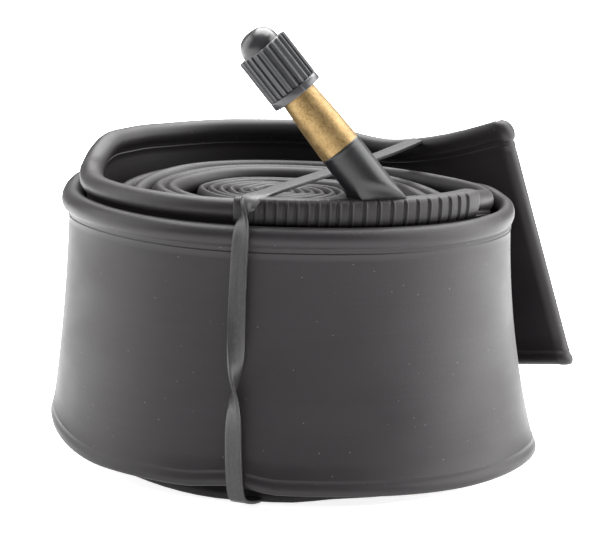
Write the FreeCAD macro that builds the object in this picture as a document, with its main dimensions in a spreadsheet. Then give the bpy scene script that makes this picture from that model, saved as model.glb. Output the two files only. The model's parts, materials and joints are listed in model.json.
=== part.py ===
import FreeCAD, Part
import Sketcher
import math
import os
from FreeCAD import Vector, Rotation, Placement

# Bicycle inner tube with an auto valve: the ring is pressed flat, folded double, rolled into a
# coil that stands on its crown edge, and held by one flat rubber band.
# Frame: origin under the middle of the coil on the surface it stands on, +Z up, +X to the side
# that the outer fold points to, and the valve on the -Y side.

doc = FreeCAD.newDocument("inner_tube")

# ---------------------------------------------------------------- driving dimensions, mm and deg
sheet = doc.addObject("Spreadsheet::Sheet", "sizes")
DIMENSIONS = [
    # the rolled ring
    ("strip_thickness", 1.7, "both pressed walls of the ring, 0.85 mm each"),
    ("roll_turns", 6.05, "turns of the doubled strip, counted from the outer fold"),
    ("coil_pitch", 4.1, "growth of the coil per turn where it is wound tight"),
    ("crown_flare", 0.115, "how much wider the coil is at its crown edge"),
    ("inner_flare", 0.26, "the same for the second turn, which spreads out more"),
    ("crown_shift", 2.3, "sideways lean of the coil's crown edge"),
    ("tail_length", 27.2, "outer fold beyond the coil, at the rim edge"),
    ("tail_length_low", 40.2, "outer fold beyond the coil, at the crown edge"),
    ("tail_top", 68.4, "height of the outer fold's rim edge"),
    ("tail_bottom", 16.8, "height of the outer fold's crown edge"),
    # where the valve stands on the roll
    ("valve_radius", 40.4, "from the roll's axis to the valve's foot"),
    ("valve_turn", -62.9, "direction of the valve's foot, from +X"),
    ("valve_height", 58.8, "start of the stem's own axis, in the rim edge"),
    ("valve_lean", 39.9, "lean of the stem from vertical, towards -X"),
    # reinforcing patch and rubber cover
    ("patch_low", 58.9, "underside of the patch, pressed into the rim edge"),
    ("patch_width", 4.6, "across the rim edge"),
    ("patch_thickness", 1.3, "over the rim edge"),
    ("patch_arc", 62.0, "angle of the roll that the patch covers"),
    ("jacket_radius", 4.25, "rubber cover, fits an 8.5 mm rim hole"),
    ("jacket_top", 13.5, "end of the cover, along the stem"),
    ("foot_depth", 6.0, "cover below the start of the stem's axis, before it is trimmed"),
    # brass stem
    ("stem_low", 4.8, "lower end of the brass"),
    ("stem_root_radius", 3.3, "brass under the rubber cover"),
    ("neck_low_radius", 4.15, "bare neck at the rubber"),
    ("neck_high_radius", 3.45, "bare neck at the thread"),
    ("thread_low", 27.3, "first thread"),
    ("thread_radius", 3.85, "8V1 thread, crest"),
    ("thread_depth", 0.4, "8V1 thread, crest to root"),
    ("thread_pitch", 0.794, "8V1 thread, 32 to the inch"),
    ("stem_top", 36.8, "upper end of the brass"),
    ("core_bore", 2.65, "bore for the core's plug"),
    ("air_bore", 1.9, "bore below the core's seat"),
    ("seat_high", 31.2, "wide end of the core's seat"),
    ("seat_low", 29.2, "narrow end of the core's seat"),
    # valve core
    ("plug_radius", 2.6, "threaded plug"),
    ("plug_low", 31.6, "lower end of the plug"),
    ("plug_top", 36.4, "upper end of the plug"),
    ("plug_bore", 0.95, "air way through the plug"),
    ("barrel_radius", 1.5, "drilled barrel"),
    ("barrel_bore", 1.15, "spring chamber"),
    ("barrel_low", 22.7, "lower end of the barrel, where the washer seals"),
    ("barrel_floor", 0.8, "thickness of the barrel's floor"),
    ("guide_bore", 0.8, "air way through the barrel's floor"),
    ("packing_high_radius", 2.48, "seal ring in the seat, wide end"),
    ("packing_low_radius", 1.97, "seal ring in the seat, narrow end"),
    ("packing_low", 29.5, "narrow end of the seal ring"),
    ("packing_high", 30.9, "wide end of the seal ring"),
    ("pin_radius", 0.45, "core pin"),
    ("pin_low", 21.3, "riveted end of the pin"),
    ("pin_top", 36.3, "button end of the pin"),
    ("collar_radius", 0.8, "collar that the spring lifts"),
    ("collar_low", 29.8, "underside of that collar"),
    ("collar_height", 0.5, "collar, along the stem"),
    ("spring_wire", 0.14, "spring wire radius"),
    ("spring_radius", 0.8, "spring, mean coil radius"),
    ("spring_turns", 7.0, "turns of the spring"),
    ("cup_radius", 1.5, "cup at the pin's lower end"),
    ("cup_low", 21.6, "underside of the cup"),
    ("cup_high", 22.4, "rim of the cup"),
    ("cup_wall", 0.25, "sheet that the cup is drawn from"),
    ("washer_high", 22.68, "sealing face of the rubber washer in the cup"),
    # dust cap
    ("cap_low", 26.6, "open end of the cap"),
    ("flange_radius", 5.3, "flange at the open end"),
    ("flange_height", 1.6, "flange, along the stem"),
    ("cap_radius", 4.85, "cap wall between the ribs"),
    ("cap_length", 11.2, "open end to the shoulder under the dome"),
    ("cap_bore", 3.95, "clear of the stem's thread by 0.1 mm"),
    ("dome_radius", 4.0, "foot of the dome"),
    ("dome_height", 3.8, "dome"),
    ("dome_round", 3.7, "rounding of the dome"),
    ("rib_radius", 0.34, "each grip rib"),
    ("rib_count", 24.0, "grip ribs round the cap"),
    ("seal_radius", 3.6, "rubber disc in the cap"),
    ("seal_low", 36.9, "face of the disc that meets the stem"),
    ("seal_thickness", 0.8, "rubber disc in the cap"),
    ("seal_gap", 0.06, "play behind the disc"),
    # rubber band
    ("band_width", 3.4, "flat band"),
    ("band_thickness", 0.75, "flat band, thinner for being stretched"),
]
for row, (alias, value, meaning) in enumerate(DIMENSIONS, start=1):
    sheet.set("A%d" % row, alias)
    sheet.set("B%d" % row, repr(value))
    sheet.set("C%d" % row, meaning)
    sheet.setAlias("B%d" % row, alias)
doc.recompute()


def size(alias):
    return float(getattr(sheet, alias))


# ---------------------------------------------------------------- the rolled ring
# Each strand of the doubled ring follows a spiral. A list gives (turn angle in degrees, value)
# and the values between are blended; past the last angle the coil is wound at its pitch.
OUTER_RADIUS = [(60, 44.4), (150, 45.4), (190, 43.7), (300, 44.2), (350, 44.7), (425, 38.2), (480, 36.4),
                (540, 34.6), (630, 33.0), (720, 32.6), (780, 30.8), (900, 25.8), (1080, 22.6), (1170, 19.4),
                (1260, 15.6)]
INNER_RADIUS = [(60, 40.8), (150, 42.2), (190, 40.1), (345, 40.5), (425, 34.7), (480, 32.8), (540, 30.9),
                (630, 29.4), (720, 28.9), (780, 27.4), (900, 23.2), (1080, 20.2), (1170, 17.2), (1260, 13.55)]
OUTER_TOP = [(60, 61.3), (120, 58.5), (158, 56.2), (185, 54.6), (270, 54.8), (345, 54.6),
             (362, 55.4), (378, 56.3), (405, 55.5), (450, 56.0), (630, 52.5), (810, 56.5),
             (1080, 54.8)]
INNER_TOP = [(60, 62.2), (90, 65.3), (105, 65.2), (135, 64.4), (150, 64.0), (175, 60.0), (190, 58.6),
             (270, 59.5), (330, 59.2), (360, 57.2), (450, 57.2), (630, 52.5), (810, 56.5), (1080, 54.8)]
OUTER_BOTTOM = [(60, 11.0), (120, 9.0), (180, 7.0), (222, 3.9), (245, 3.9), (257, 4.9), (268, 3.6),
                (310, 3.2), (345, 3.8), (380, 4.0), (450, 2.5), (560, 3.0), (612, 0.0), (628, 0.3),
                (645, 1.2), (700, 1.2), (760, 0.0)]
INNER_BOTTOM = [(60, 12.0), (120, 9.0), (270, 7.0), (360, 5.0), (480, 2.5), (560, 3.0), (612, 0.4),
                (760, 0.0)]
FOLD_ANGLE = 60.0
TAIL_RISE_POWER = 1.6
# the tight coil sits a little off the roll's axis
DRIFT = (-2.5, 5.0)
DRIFT_ANGLES = (700.0, 1260.0)
# turn angles between which the crown edge spreads by the inner flare, then settles back
FLARE_ANGLES = (440.0, 560.0, 700.0, 850.0)
FOLD_RADIUS = 1.5
FACET_LENGTH = 5.0


def smooth(low, high, value):
    """0 below low, 1 above high, and an S-shaped ramp between."""
    ratio = min(max((value - low) / (high - low), 0.0), 1.0)
    return ratio * ratio * (3.0 - 2.0 * ratio)


def blended(keys, angle):
    """Value of a key list at a turn angle, level beyond its ends."""
    if angle <= keys[0][0]:
        return keys[0][1]
    for (start, first), (end, second) in zip(keys, keys[1:]):
        if angle <= end:
            return first + (second - first) * smooth(start, end, angle)
    return keys[-1][1]


def coil_radius(radius_keys, angle):
    """Distance of a strand's middle from the coil's own centre, at the rim edge."""
    wound = max(angle - radius_keys[-1][0], 0.0)
    return blended(radius_keys, angle) - size("coil_pitch") / 360.0 * wound


def strand_point(radius_keys, height_keys, angle, crown):
    """Point on a strand's middle line; crown is 0 at the rim edge and 1 at the crown edge."""
    radius = coil_radius(radius_keys, angle)
    drift = smooth(DRIFT_ANGLES[0], DRIFT_ANGLES[1], angle)
    spread = smooth(FLARE_ANGLES[0], FLARE_ANGLES[1], angle)
    spread -= smooth(FLARE_ANGLES[2], FLARE_ANGLES[3], angle)
    turn = math.radians(angle)
    flare = size("crown_flare") + (size("inner_flare") - size("crown_flare")) * spread
    wider = 1.0 + flare * crown
    x = (DRIFT[0] * drift + radius * math.cos(turn)) * wider + size("crown_shift") * crown
    y = (DRIFT[1] * drift + radius * math.sin(turn)) * wider
    return Vector(x, y, blended(height_keys, angle))


def fold(start, end, steps=4):
    """Half a turn in plan from start to end, without its two ends."""
    centre, arm = (start + end) * 0.5, (start - end) * 0.5
    side = Vector(arm.y, -arm.x, 0.0)
    turns = [math.pi * step / steps for step in range(1, steps)]
    return [centre + arm * math.cos(turn) + side * math.sin(turn) for turn in turns]


def facet_angles():
    """Turn angles along a strand, about one facet apart."""
    angles = [FOLD_ANGLE]
    while angles[-1] < FOLD_ANGLE + 360.0 * size("roll_turns"):
        radius = coil_radius(OUTER_RADIUS, angles[-1]) + 4.0
        angles.append(angles[-1] + math.degrees(FACET_LENGTH / radius))
    return angles


def middle_line(crown):
    """One closed loop along the strip's middle, from the inner fold out to the tail and back."""
    angles = facet_angles()
    outer = [strand_point(OUTER_RADIUS, OUTER_BOTTOM if crown else OUTER_TOP, a, crown) for a in angles]
    inner = [strand_point(INNER_RADIUS, INNER_BOTTOM if crown else INNER_TOP, a, crown) for a in angles]
    # the tail runs straight on from the strands and ends in the outer fold
    away = Vector(math.sin(math.radians(FOLD_ANGLE)), -math.cos(math.radians(FOLD_ANGLE)), 0.0)
    length = size("tail_length_low") if crown else size("tail_length")
    tip_height = size("tail_bottom") if crown else size("tail_top")
    middle = (outer[0] + inner[0]) * 0.5
    gap = (outer[0] - inner[0]).Length * 0.5
    spread = (outer[0] - inner[0]).normalize()
    tails = {1.0: [], -1.0: []}
    facets = 6
    for facet in range(1, facets + 1):
        part = facet / facets
        run = middle + away * ((length - FOLD_RADIUS) * part)
        half_gap = gap + (FOLD_RADIUS - gap) * part
        rise = part if crown else part ** TAIL_RISE_POWER
        for side, line in tails.items():
            point = run + spread * (half_gap * side)
            line.append(Vector(point.x, point.y, middle.z + (tip_height - middle.z) * rise))
    tip = fold(tails[1.0][-1], tails[-1.0][-1])
    core = fold(inner[-1], outer[-1])
    return core + outer[::-1] + tails[1.0] + tip + tails[-1.0][::-1] + inner


def shifted(loop, distance):
    """The loop moved sideways in plan, outwards for a positive distance."""
    points = []
    for i, point in enumerate(loop):
        forward = loop[(i + 1) % len(loop)] - loop[i - 1]
        points.append(point + Vector(forward.y, -forward.x, 0.0).normalize() * distance)
    return points


def facet(*points):
    return Part.Face(Part.makePolygon(list(points) + [points[0]]))


rim_line = middle_line(0.0)
crown_line = middle_line(1.0)
wall = size("strip_thickness") * 0.5
corner_loops = [shifted(rim_line, wall), shifted(rim_line, -wall),
                shifted(crown_line, -wall), shifted(crown_line, wall)]
facets = []
for this, other in zip(corner_loops, corner_loops[1:] + corner_loops[:1]):
    for i in range(len(this)):
        facets.append(facet(this[i - 1], this[i], other[i]))
        facets.append(facet(this[i - 1], other[i], other[i - 1]))
shell = Part.Shell(facets)
shell.sewShape()
tube = doc.addObject("Part::Feature", "tube")
tube.Label = "tube"
tube.Shape = Part.Solid(shell)

# ---------------------------------------------------------------- the valve's own axis
# Every piece of the valve is built round +Z and then leans over with the stem.
foot_turn = math.radians(size("valve_turn"))
foot = Vector(size("valve_radius") * math.cos(foot_turn), size("valve_radius") * math.sin(foot_turn),
              size("valve_height"))
VALVE = Placement(foot, Rotation(Vector(0, 1, 0), -size("valve_lean")))
# radius of a point on that axis
AXIS = "0"


def plane_of(body, role):
    """One of the body's own origin planes."""
    return [item for item in body.Origin.OriginFeatures if item.Role == role][0]


def number_for(text, values):
    """Number that a sum of sheet names and plain numbers stands for."""
    total, sign = 0.0, 1.0
    for word in text.replace("sizes.", "").split():
        if word in ("+", "-"):
            sign = 1.0 if word == "+" else -1.0
        else:
            factors = [values[factor] if factor in values else float(factor) for factor in word.split("*")]
            total += sign * math.prod(factors)
    return total


def turned(name, outline):
    """Body turned round the valve's axis from a closed outline of (radius, height) expressions."""
    body = doc.addObject("PartDesign::Body", name)
    body.Label = name
    sketch = body.newObject("Sketcher::SketchObject", name + "_outline")
    sketch.AttachmentSupport = (plane_of(body, "XZ_Plane"), [""])
    sketch.MapMode = "FlatFace"
    sheet_values = {alias: size(alias) for alias, value, meaning in DIMENSIONS}
    corners = [tuple(number_for(text, sheet_values) for text in pair) for pair in outline]
    for i, (radius, height) in enumerate(corners):
        after = corners[(i + 1) % len(corners)]
        sketch.addGeometry(Part.LineSegment(Vector(radius, height, 0), Vector(after[0], after[1], 0)), False)
    for i in range(len(corners)):
        sketch.addConstraint(Sketcher.Constraint("Coincident", i, 2, (i + 1) % len(corners), 1))
    for i, pair in enumerate(outline):
        for direction, text, number in (("DistanceX", pair[0], corners[i][0]),
                                        ("DistanceY", pair[1], corners[i][1])):
            if text == AXIS:
                sketch.addConstraint(Sketcher.Constraint("PointOnObject", i, 1, -2))
                continue
            constraint = sketch.addConstraint(Sketcher.Constraint(direction, -1, 1, i, 1, number))
            label = "%s_%d" % ("radius" if direction == "DistanceX" else "height", i)
            sketch.renameConstraint(constraint, label)
            sketch.setExpression("Constraints." + label, text)
    spin = body.newObject("PartDesign::Revolution", name + "_turned")
    spin.Profile = sketch
    spin.ReferenceAxis = (sketch, ["V_Axis"])
    spin.Angle = 360.0
    body.Placement = VALVE
    return body


def sleeve_outline(bore, radius, low, high):
    """Outline of a plain sleeve."""
    return [(bore, low), (radius, low), (radius, high), (bore, high)]


# ---------------------------------------------------------------- brass stem
# Turned and drilled; the root is under the rubber, the neck is bare, and the thread takes the cap.
thread_root = "sizes.thread_radius - sizes.thread_depth"
thread_outline = []
for tooth in range(11):
    foot_of_tooth = "sizes.thread_low + sizes.thread_pitch*%.1f" % tooth
    thread_outline.append((thread_root, foot_of_tooth))
    thread_outline.append(("sizes.thread_radius", foot_of_tooth + " + sizes.thread_pitch*0.5"))
valve_stem = turned("valve_stem", [
    ("sizes.air_bore", "sizes.stem_low"),
    ("sizes.stem_root_radius", "sizes.stem_low"),
    ("sizes.stem_root_radius", "sizes.jacket_top"),
    ("sizes.neck_low_radius", "sizes.jacket_top"),
    ("sizes.neck_high_radius", "sizes.thread_low - 0.3"),
] + thread_outline + [
    (thread_root, "sizes.stem_top"),
    ("sizes.core_bore", "sizes.stem_top"),
    ("sizes.core_bore", "sizes.seat_high"),
    ("sizes.air_bore", "sizes.seat_low"),
])

# ---------------------------------------------------------------- valve core
# Swivel plug, seal ring and barrel stay in the stem; pin, cup and washer move together.
core_plug = turned("core_plug", sleeve_outline("sizes.plug_bore", "sizes.plug_radius",
                                               "sizes.plug_low", "sizes.plug_top"))
core_packing = turned("core_packing", [
    ("sizes.barrel_radius", "sizes.packing_low"),
    ("sizes.packing_low_radius", "sizes.packing_low"),
    ("sizes.packing_high_radius", "sizes.packing_high"),
    ("sizes.barrel_radius", "sizes.packing_high"),
])
core_barrel = turned("core_barrel", [
    ("sizes.guide_bore", "sizes.barrel_low"),
    ("sizes.barrel_radius", "sizes.barrel_low"),
    ("sizes.barrel_radius", "sizes.plug_low"),
    ("sizes.barrel_bore", "sizes.plug_low"),
    ("sizes.barrel_bore", "sizes.barrel_low + sizes.barrel_floor"),
    ("sizes.guide_bore", "sizes.barrel_low + sizes.barrel_floor"),
])
core_pin = turned("core_pin", [
    (AXIS, "sizes.pin_low"),
    ("sizes.pin_radius", "sizes.pin_low"),
    ("sizes.pin_radius", "sizes.collar_low"),
    ("sizes.collar_radius", "sizes.collar_low"),
    ("sizes.collar_radius", "sizes.collar_low + sizes.collar_height"),
    ("sizes.pin_radius", "sizes.collar_low + sizes.collar_height"),
    ("sizes.pin_radius", "sizes.pin_top"),
    (AXIS, "sizes.pin_top"),
])
core_cup = turned("core_cup", [
    ("sizes.pin_radius", "sizes.cup_low"),
    ("sizes.cup_radius", "sizes.cup_low"),
    ("sizes.cup_radius", "sizes.cup_high"),
    ("sizes.cup_radius - sizes.cup_wall", "sizes.cup_high"),
    ("sizes.cup_radius - sizes.cup_wall", "sizes.cup_low + sizes.cup_wall"),
    ("sizes.pin_radius", "sizes.cup_low + sizes.cup_wall"),
])
core_seal = turned("core_seal", sleeve_outline("sizes.pin_radius", "sizes.cup_radius - sizes.cup_wall",
                                               "sizes.cup_low + sizes.cup_wall", "sizes.washer_high"))

# the spring stands on the barrel's floor and lifts the pin's collar
SPRING_GAP = 0.03
spring_low = size("barrel_low") + size("barrel_floor") + size("spring_wire") + SPRING_GAP
spring_high = size("collar_low") - size("spring_wire") - SPRING_GAP
helix = Part.makeHelix((spring_high - spring_low) / size("spring_turns"), spring_high - spring_low,
                       size("spring_radius"))
wire_section = Part.Wire(Part.makeCircle(size("spring_wire"), Vector(size("spring_radius"), 0, 0),
                                         Vector(0, 1, 0)))
spring_solid = Part.Wire(helix.Edges).makePipeShell([wire_section], True, True)
core_spring = doc.addObject("Part::Feature", "core_spring")
core_spring.Label = "core_spring"
core_spring.Shape = spring_solid
core_spring.Placement = VALVE.multiply(Placement(Vector(0, 0, spring_low), Rotation()))

# ---------------------------------------------------------------- rubber cover and patch
# The cover is moulded on the stem's root and trimmed level where it meets the patch.
patch_top = size("patch_low") + size("patch_thickness")
cover_blank = doc.addObject("Part::Cylinder", "cover_blank")
cover_blank.setExpression("Radius", "sizes.jacket_radius")
cover_blank.setExpression("Height", "sizes.jacket_top + sizes.foot_depth")
cover_blank.Placement = VALVE.multiply(Placement(Vector(0, 0, -size("foot_depth")), Rotation()))
stem_hole = doc.addObject("Part::Cylinder", "stem_hole")
stem_hole.setExpression("Radius", "sizes.stem_root_radius")
stem_hole.setExpression("Height", "sizes.jacket_top")
stem_hole.Placement = VALVE.multiply(Placement(Vector(0, 0, size("stem_low")), Rotation()))
air_way = doc.addObject("Part::Cylinder", "air_way")
air_way.setExpression("Radius", "sizes.air_bore")
air_way.setExpression("Height", "sizes.stem_low + 2 * sizes.foot_depth")
air_way.Placement = VALVE.multiply(Placement(Vector(0, 0, -2.0 * size("foot_depth")), Rotation()))
below_patch = doc.addObject("Part::Box", "below_patch")
for side in ("Length", "Width", "Height"):
    below_patch.setExpression(side, "8 * sizes.jacket_radius")
reach = 4.0 * size("jacket_radius")
below_patch.Placement = Placement(Vector(foot.x - reach, foot.y - reach, patch_top - 2.0 * reach),
                                  Rotation())
holes = doc.addObject("Part::MultiFuse", "cover_holes")
holes.Shapes = [stem_hole, air_way, below_patch]
stem_jacket = doc.addObject("Part::Cut", "stem_jacket")
stem_jacket.Label = "stem_jacket"
stem_jacket.Base = cover_blank
stem_jacket.Tool = holes

patch_outer = doc.addObject("Part::Cylinder", "patch_outer")
patch_outer.setExpression("Radius", "sizes.valve_radius + sizes.patch_width / 2")
patch_outer.setExpression("Height", "sizes.patch_thickness")
patch_outer.setExpression("Angle", "sizes.patch_arc")
patch_outer.Placement = Placement(Vector(0, 0, size("patch_low")),
                                  Rotation(Vector(0, 0, 1), size("valve_turn") - size("patch_arc") / 2))
patch_inner = doc.addObject("Part::Cylinder", "patch_inner")
patch_inner.setExpression("Radius", "sizes.valve_radius - sizes.patch_width / 2")
patch_inner.setExpression("Height", "sizes.patch_low + 2 * sizes.patch_thickness")
patch_air_way = doc.addObject("Part::Cylinder", "patch_air_way")
patch_air_way.setExpression("Radius", "sizes.air_bore")
patch_air_way.setExpression("Height", "3 * sizes.foot_depth")
patch_air_way.Placement = air_way.Placement
patch_cuts = doc.addObject("Part::MultiFuse", "patch_cuts")
patch_cuts.Shapes = [patch_inner, patch_air_way]
valve_patch = doc.addObject("Part::Cut", "valve_patch")
valve_patch.Label = "valve_patch"
valve_patch.Base = patch_outer
valve_patch.Tool = patch_cuts

# ---------------------------------------------------------------- dust cap
# Moulded plastic: a flange at the open end, grip ribs, and a rounded dome.
cap_shoulder = "sizes.cap_low + sizes.cap_length"
valve_cap = turned("valve_cap", [
    ("sizes.cap_bore", "sizes.cap_low"),
    ("sizes.flange_radius", "sizes.cap_low"),
    ("sizes.flange_radius", "sizes.cap_low + sizes.flange_height"),
    ("sizes.cap_radius", "sizes.cap_low + sizes.flange_height"),
    ("sizes.cap_radius", cap_shoulder),
    ("sizes.dome_radius", cap_shoulder),
    ("sizes.dome_radius", cap_shoulder + " + sizes.dome_height"),
    (AXIS, cap_shoulder + " + sizes.dome_height"),
    (AXIS, "sizes.seal_low + sizes.seal_thickness + sizes.seal_gap"),
    ("sizes.cap_bore", "sizes.seal_low + sizes.seal_thickness + sizes.seal_gap"),
])
doc.recompute()
dome_height = size("cap_low") + size("cap_length") + size("dome_height")
blank = valve_cap.Tip
dome_rim = ["Edge%d" % i for i, edge in enumerate(blank.Shape.Edges, start=1)
            if abs(edge.BoundBox.ZMin - dome_height) < 0.01 and abs(edge.BoundBox.ZMax - dome_height) < 0.01
            and edge.BoundBox.XLength > size("dome_radius")]
dome = valve_cap.newObject("PartDesign::Fillet", "dome")
dome.Base = (blank, dome_rim)
dome.setExpression("Radius", "sizes.dome_round")
valve_cap.Tip = dome
rib_sketch = valve_cap.newObject("Sketcher::SketchObject", "rib_section")
rib_sketch.AttachmentSupport = (plane_of(valve_cap, "XY_Plane"), [""])
rib_sketch.MapMode = "FlatFace"
rib_foot = size("cap_low") + size("flange_height") * 0.5
rib_sketch.AttachmentOffset = Placement(Vector(0, 0, rib_foot), Rotation())
rib_circle = Part.Circle(Vector(size("cap_radius"), 0, 0), Vector(0, 0, 1), size("rib_radius"))
rib_sketch.addGeometry(rib_circle, False)
rib_sketch.addConstraint(Sketcher.Constraint("PointOnObject", 0, 3, -1))
rib_sketch.addConstraint(Sketcher.Constraint("DistanceX", -1, 1, 0, 3, size("cap_radius")))
rib_sketch.setExpression("Constraints[1]", "sizes.cap_radius")
rib_sketch.addConstraint(Sketcher.Constraint("Radius", 0, size("rib_radius")))
rib_sketch.setExpression("Constraints[2]", "sizes.rib_radius")
rib = valve_cap.newObject("PartDesign::Pad", "rib")
rib.Profile = rib_sketch
rib.setExpression("Length", "sizes.cap_length - sizes.flange_height / 2")
valve_cap.Tip = rib
doc.recompute()
ribs = valve_cap.newObject("PartDesign::PolarPattern", "ribs")
ribs.Originals = [rib]
ribs.Axis = (rib_sketch, ["N_Axis"])
ribs.Angle = 360.0
ribs.setExpression("Occurrences", "sizes.rib_count")
valve_cap.Tip = ribs

cap_seal = turned("cap_seal", [
    (AXIS, "sizes.seal_low"),
    ("sizes.seal_radius", "sizes.seal_low"),
    ("sizes.seal_radius", "sizes.seal_low + sizes.seal_thickness"),
    (AXIS, "sizes.seal_low + sizes.seal_thickness"),
])

# ---------------------------------------------------------------- rubber band
# One taut loop in an upright plane: over the rim edges behind the valve, down both sides of the
# coil and under it. Points are (distance from the front corner towards the back, height).
BAND_FRONT = Vector(-8.5, -46.5, 0.0)
BAND_BACK = Vector(25.9, 39.5, 0.0)
BAND_INSIDE = [(-0.6, 55.0), (4.4, 59.4), (88.5, 60.9), (92.6, 58.5), (97.9, 11.0), (89.0, 0.75),
               (1.5, 0.75), (-3.6, 3.6)]
band_way = (BAND_BACK - BAND_FRONT).normalize()
band_across = Vector(band_way.y, -band_way.x, 0.0)
band_start = BAND_FRONT - band_across * (size("band_width") * 0.5)
band_points = [band_start + band_way * reach + Vector(0, 0, height) for reach, height in BAND_INSIDE]
band_inner = Part.makePolygon(band_points + band_points[:1])
band_outer = band_inner.makeOffset2D(size("band_thickness"), 0)
band_face = Part.Face([band_outer, band_inner])
# a sound face is needed before it is drawn out across the band's width
band_face.fix(0.01, 0.01, 0.01)
rubber_band = doc.addObject("Part::Feature", "rubber_band")
rubber_band.Label = "rubber_band"
rubber_band.Shape = band_face.extrude(band_across * size("band_width"))

# ---------------------------------------------------------------- checks and files
doc.recompute()
SUBPARTS = [tube, valve_patch, stem_jacket, valve_stem, core_plug, core_packing, core_barrel,
            core_spring, core_pin, core_cup, core_seal, valve_cap, cap_seal, rubber_band]
for item in doc.Objects:
    if "Invalid" in item.State or "Error" in item.State:
        raise SystemExit("%s failed: %s" % (item.Label, item.State))
for item in SUBPARTS:
    if item.Shape.isNull() or not item.Shape.isValid():
        raise SystemExit("%s has no valid shape" % item.Label)
    print("%-14s %9.2f mm3  %d solid(s)" % (item.Label, item.Shape.Volume, len(item.Shape.Solids)))
os.makedirs("parts", exist_ok=True)
for item in SUBPARTS:
    item.Shape.exportStep("parts/%s.step" % item.Label)
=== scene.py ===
import math

import bpy
import numpy as np
from mathutils import Matrix, Vector
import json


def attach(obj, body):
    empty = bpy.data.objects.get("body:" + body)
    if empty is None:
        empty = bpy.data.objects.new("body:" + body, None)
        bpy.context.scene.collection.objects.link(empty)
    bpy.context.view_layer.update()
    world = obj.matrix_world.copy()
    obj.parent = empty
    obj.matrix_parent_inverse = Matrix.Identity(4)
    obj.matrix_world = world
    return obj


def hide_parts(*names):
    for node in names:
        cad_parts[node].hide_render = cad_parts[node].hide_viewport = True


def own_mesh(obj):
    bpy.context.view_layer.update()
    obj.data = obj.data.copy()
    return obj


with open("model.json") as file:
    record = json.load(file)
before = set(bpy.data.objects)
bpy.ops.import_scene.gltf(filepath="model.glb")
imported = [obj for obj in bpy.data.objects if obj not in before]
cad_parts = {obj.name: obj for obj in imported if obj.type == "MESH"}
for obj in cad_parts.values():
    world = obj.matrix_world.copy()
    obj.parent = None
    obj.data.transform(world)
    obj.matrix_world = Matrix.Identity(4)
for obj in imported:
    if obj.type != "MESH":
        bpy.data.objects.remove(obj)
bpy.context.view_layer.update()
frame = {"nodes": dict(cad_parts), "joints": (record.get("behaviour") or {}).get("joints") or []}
MM = 0.001


# ------------------------------------------------------------------------------------------------
# Camera
# A long lens low over the table, tipped a little to one side.
# ------------------------------------------------------------------------------------------------
CAMERA_PLACE = Vector((4.45, -595.8, 141.8)) * MM
CAMERA_DIP = 9.98
CAMERA_TIP = 2.03
LENS = 172.3

camera_data = bpy.data.cameras.new("camera")
camera_data.lens = LENS
camera_data.sensor_width = 36.0
camera_data.clip_start = 0.05
camera = bpy.data.objects.new("camera", camera_data)
bpy.context.scene.collection.objects.link(camera)
camera.matrix_world = (Matrix.Translation(CAMERA_PLACE)
                       @ Matrix.Rotation(math.radians(90.0 - CAMERA_DIP), 4, "X")
                       @ Matrix.Rotation(math.radians(CAMERA_TIP), 4, "Z"))
bpy.context.scene.camera = camera


# ------------------------------------------------------------------------------------------------
# Tube
# One butyl rubber ring, pressed flat, folded double and rolled up from the fold opposite the
# tail. Each edge of the flat ring swells into a round bead, with a mould line beside it, and the
# crown edge is longer than the rim edge, so the roll is wider at its foot.
# ------------------------------------------------------------------------------------------------
WALL = 0.85
STRIP_HEIGHT = 51.5
# the strip keeps its true height this far in from each edge
EDGE_DEPTH = 10.0
COIL_PITCH = 4.1
ROLL_TURNS = 6.05
CROWN_FLARE = 0.115
INNER_FLARE = 0.26
CROWN_SHIFT = 2.3
FLARE_POWER = 2.1
TAIL_ANGLE = 60.0
TAIL_LENGTH = (27.2, 40.2)
TAIL_HEIGHT = (68.4, 16.8)
TAIL_RISE_POWER = 1.6
TAIL_FOLD = 1.5

# (turn angle, value) along the outer and the inner strand of the doubled ring
OUTER_RADIUS = [(60, 44.4), (150, 45.4), (190, 43.7), (300, 44.2), (350, 44.7), (425, 38.2), (480, 36.4),
                (540, 34.6), (630, 33.0), (720, 32.6), (780, 30.8), (900, 25.8), (1080, 22.6), (1170, 19.4),
                (1260, 15.6)]
INNER_RADIUS = [(60, 40.8), (150, 42.2), (190, 40.1), (345, 40.5), (425, 34.7), (480, 32.8), (540, 30.9),
                (630, 29.4), (720, 28.9), (780, 27.4), (900, 23.2), (1080, 20.2), (1170, 17.2), (1260, 13.55)]
OUTER_TOP = [(60, 61.3), (120, 58.5), (158, 56.2), (185, 54.6), (270, 54.8), (345, 54.6), (362, 55.4),
             (378, 56.3), (405, 55.5), (450, 56.0), (630, 52.5), (810, 56.5), (1080, 54.8)]
INNER_TOP = [(60, 62.2), (90, 65.3), (105, 65.2), (135, 64.4), (150, 64.0), (175, 60.0), (190, 58.6),
             (270, 59.5), (330, 59.2), (360, 57.2), (450, 57.2), (630, 52.5), (810, 56.5), (1080, 54.8)]
OUTER_FOOT = [(60, 11.0), (120, 9.0), (180, 7.0), (222, 3.9), (245, 3.9), (257, 4.9), (268, 3.6), (310, 3.2),
              (345, 3.8), (380, 4.0), (450, 2.5), (560, 3.0), (612, 0.2), (628, 0.3), (645, 1.2), (700, 1.2),
              (760, 0.2)]
INNER_FOOT = [(60, 12.0), (120, 9.0), (270, 7.0), (360, 5.0), (480, 2.5), (560, 3.0), (612, 0.4), (760, 0.2)]
# the tight coil sits a little off the roll's axis
DRIFT = (-2.5, 5.0)
DRIFT_ANGLES = (700.0, 1260.0)
FLARE_ANGLES = (440.0, 560.0, 700.0, 850.0)
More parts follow.
